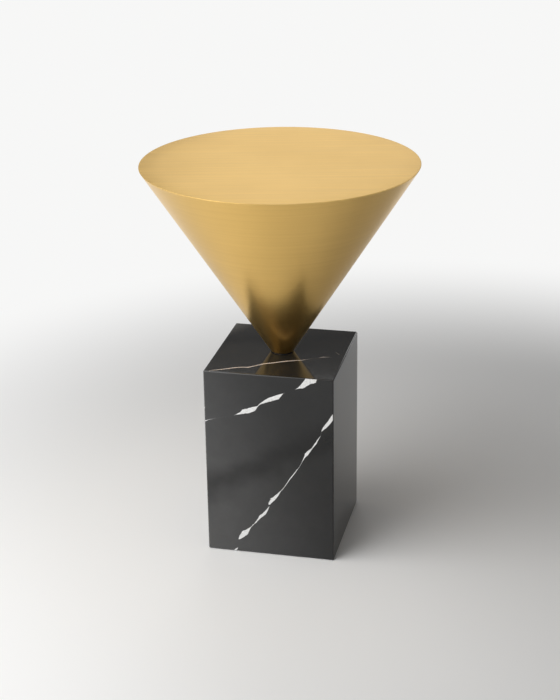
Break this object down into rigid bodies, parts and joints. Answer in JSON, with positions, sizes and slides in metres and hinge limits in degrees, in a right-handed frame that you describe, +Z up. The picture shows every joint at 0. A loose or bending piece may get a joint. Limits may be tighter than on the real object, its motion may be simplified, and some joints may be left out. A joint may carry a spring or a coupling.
{
  "type": "wine table",
  "caption": "Small round drinks table: a flat brushed brass top on an inverted brass cone, standing on a square plinth clad in veined black marble.",
  "frame": {"origin": "on the floor, on the upright axis that the cone and the plinth share", "axes": "+Z up, -Y out of the front of the plinth, +X to the right seen from the front"},
  "size_m": [0.3794, 0.3794, 0.55],
  "materials": {
    "brushed_brass": "brushed satin",
    "black_marble": "polished, with white veins",
    "fibreboard": "raw",
    "plywood": "raw",
    "softwood": "planed",
    "bright_steel": "turned",
    "zinc_steel": "zinc plated",
    "black_rubber": "matt",
    "dark_felt": "pressed felt"
  },
  "bodies": {
    "root": {"top_plate": "brushed_brass", "cone_shell": "brushed_brass", "top_backing_board": "fibreboard", "nose_plug": "bright_steel", "clamp_stud": "zinc_steel", "neck_gasket": "black_rubber", "clamp_plate": "zinc_steel", "plain_washer": "zinc_steel", "clamp_nut": "zinc_steel", "marble_top": "black_marble", "top_board": "plywood", "base_board": "plywood", "base_screws": "zinc_steel", "marble_front": "black_marble", "marble_right": "black_marble", "marble_back": "black_marble", "marble_left": "black_marble", "corner_post_front_left": "softwood", "corner_post_front_right": "softwood", "corner_post_back_right": "softwood", "corner_post_back_left": "softwood", "foot_front_left": "dark_felt", "foot_front_right": "dark_felt", "foot_back_right": "dark_felt", "foot_back_left": "dark_felt"}
  },
  "joints": []
}
